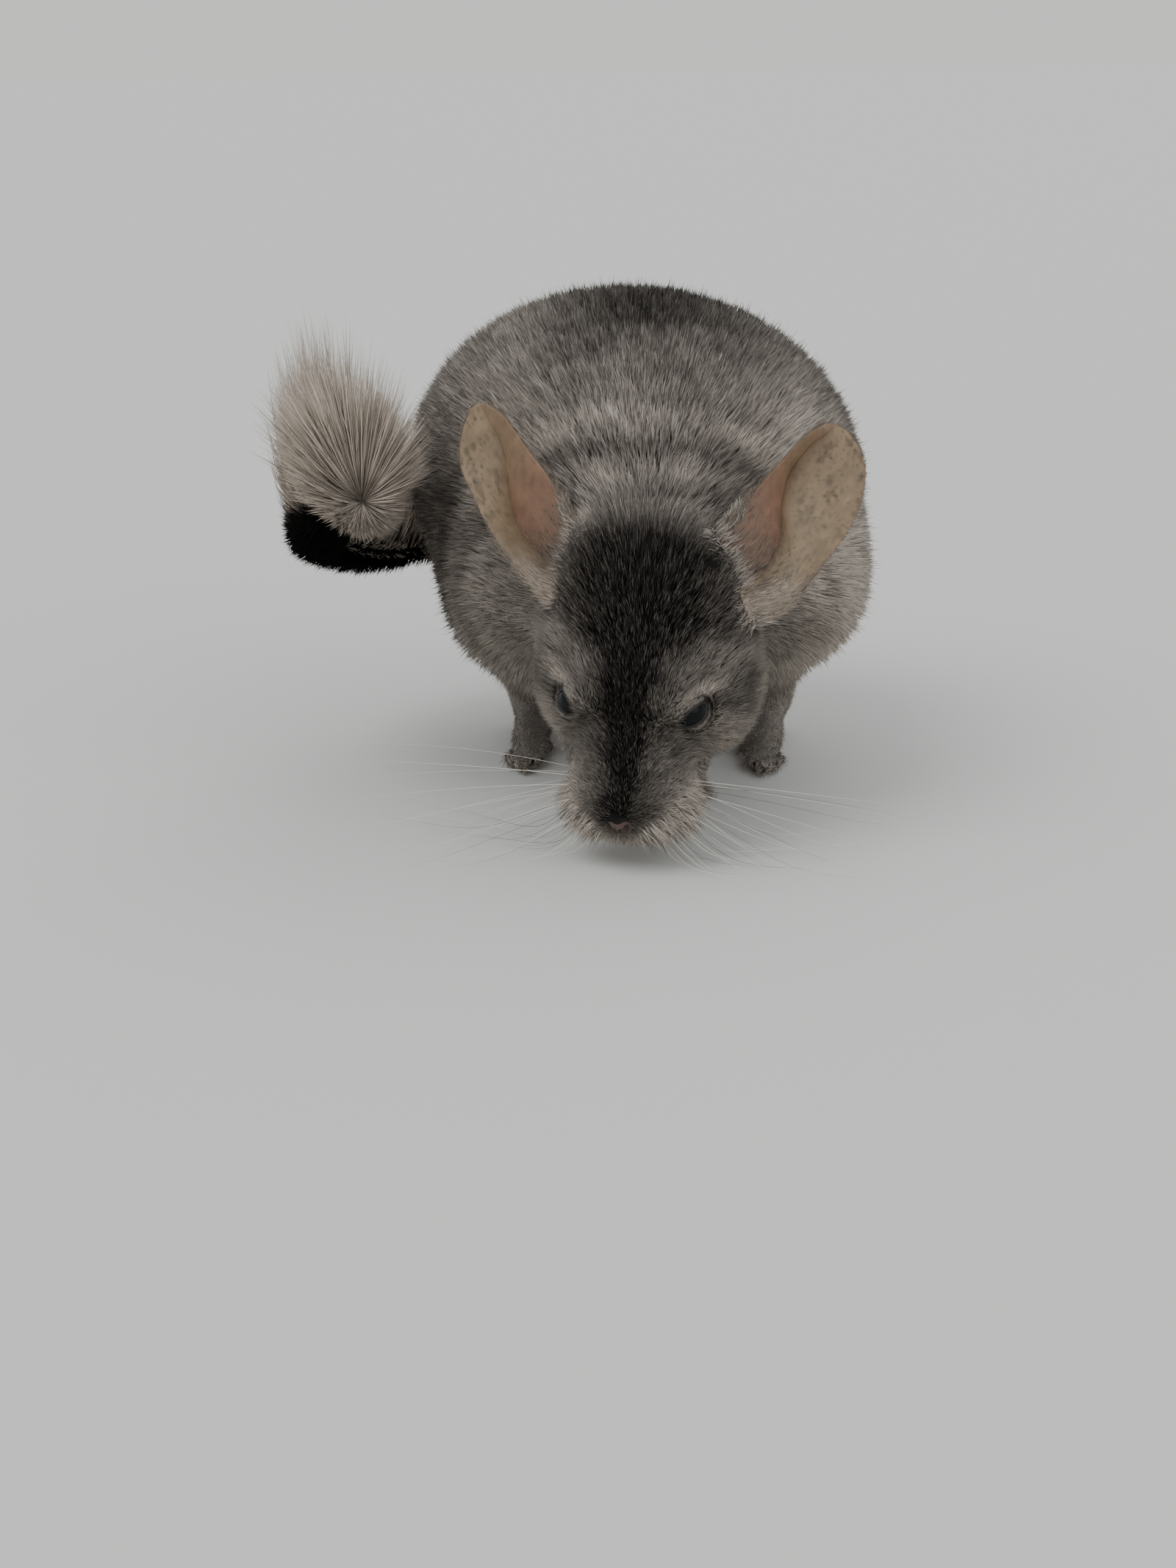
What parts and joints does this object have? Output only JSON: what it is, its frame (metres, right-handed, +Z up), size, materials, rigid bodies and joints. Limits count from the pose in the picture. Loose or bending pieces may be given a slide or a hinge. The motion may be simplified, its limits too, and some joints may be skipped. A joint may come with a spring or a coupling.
{
  "type": "chinchilla model",
  "caption": "Life-size chinchilla standing on all fours with an arched back, large ears, a bushy curled tail and its head hung low to sniff the ground.",
  "frame": {"origin": "middle of the footprint of the whole animal, on the floor", "axes": "+Z up, -Y the way the animal faces, +X its left"},
  "size_m": [0.1944, 0.212, 0.1531],
  "materials": {
    "grey_coat": "dense soft grey-brown fur",
    "brush_coat": "long coarse light grey-tan hair over dark roots",
    "ear_skin": "thin bare tan skin, satin, finely speckled",
    "foot_skin": "short-haired grey skin with small dark claws",
    "eye": "dark and glossy, opaque"
  },
  "bodies": {
    "root": {"ear_left": "ear_skin", "ear_right": "ear_skin", "eye_left": "eye", "eye_right": "eye", "forefoot_left": "foot_skin", "forefoot_right": "foot_skin", "foreleg_left": "grey_coat", "foreleg_right": "grey_coat", "head": "grey_coat", "hindfoot_left": "foot_skin", "hindfoot_right": "foot_skin", "hindleg_left": "grey_coat", "hindleg_right": "grey_coat", "neck": "grey_coat", "tail_base": "brush_coat", "tail_brush": "brush_coat", "torso": "grey_coat"}
  },
  "joints": []
}
